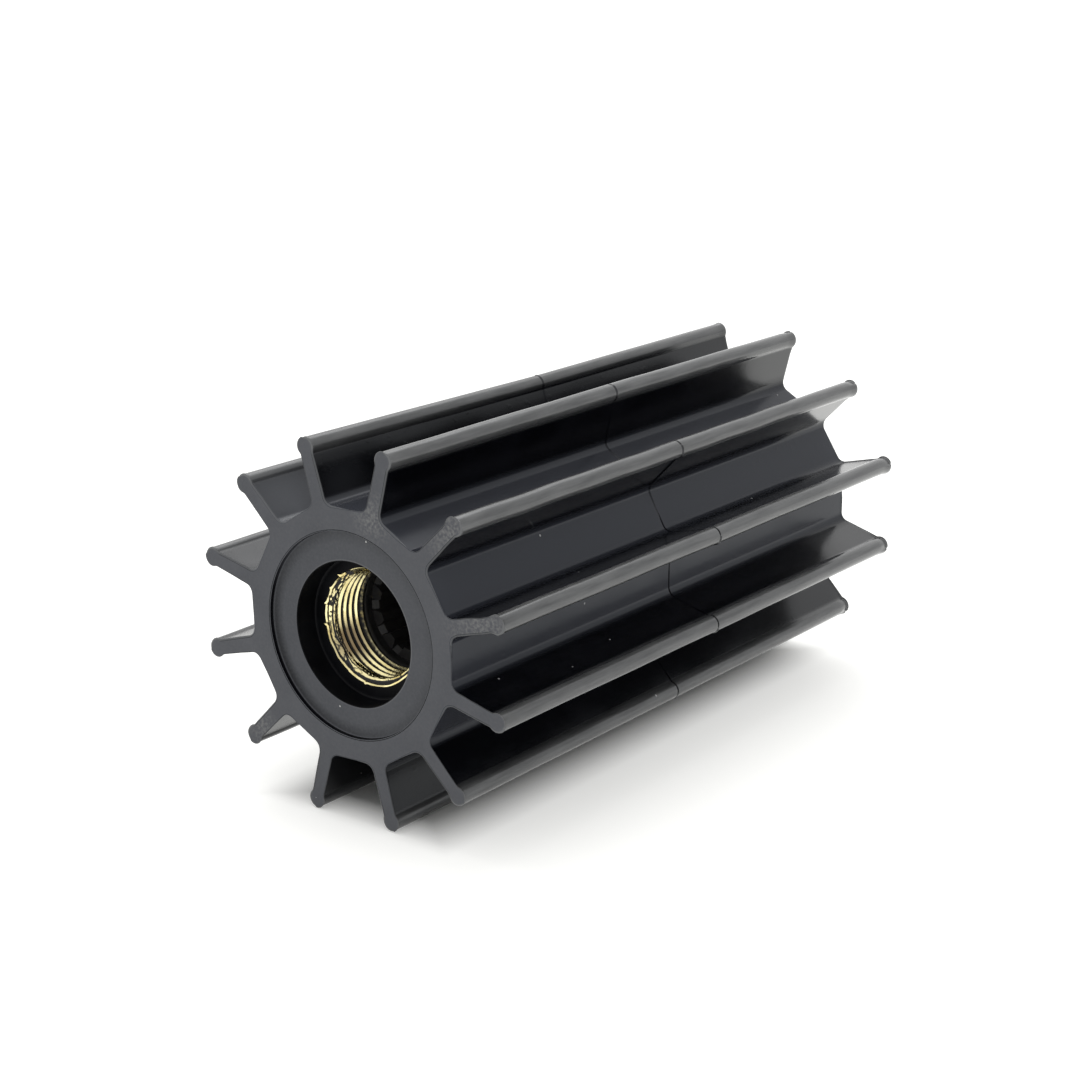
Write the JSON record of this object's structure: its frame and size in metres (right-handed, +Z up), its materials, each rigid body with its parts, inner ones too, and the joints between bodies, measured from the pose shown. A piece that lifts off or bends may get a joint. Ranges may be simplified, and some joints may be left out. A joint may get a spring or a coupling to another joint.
{
  "type": "pump impeller",
  "caption": "Flexible-vane pump impeller: a long rubber moulding with straight round-tipped vanes on a flat-sided hub, bonded to a brass insert with a puller thread and an inner spline.",
  "frame": {"origin": "on the shaft axis, at half the length of the moulding", "axes": "+Y along the shaft axis towards the plain rear end, so the threaded mouth faces -Y; +Z up as the impeller lies on two vane beads; +X to the right seen from the front"},
  "size_m": [0.092, 0.174, 0.092],
  "materials": {
    "rubber": "matt to satin black moulded rubber, greyed on the faces",
    "brass": "bright machined brass, with a burred thread start"
  },
  "bodies": {
    "root": {"rubber_moulding": "rubber", "brass_insert": "brass"}
  },
  "joints": []
}
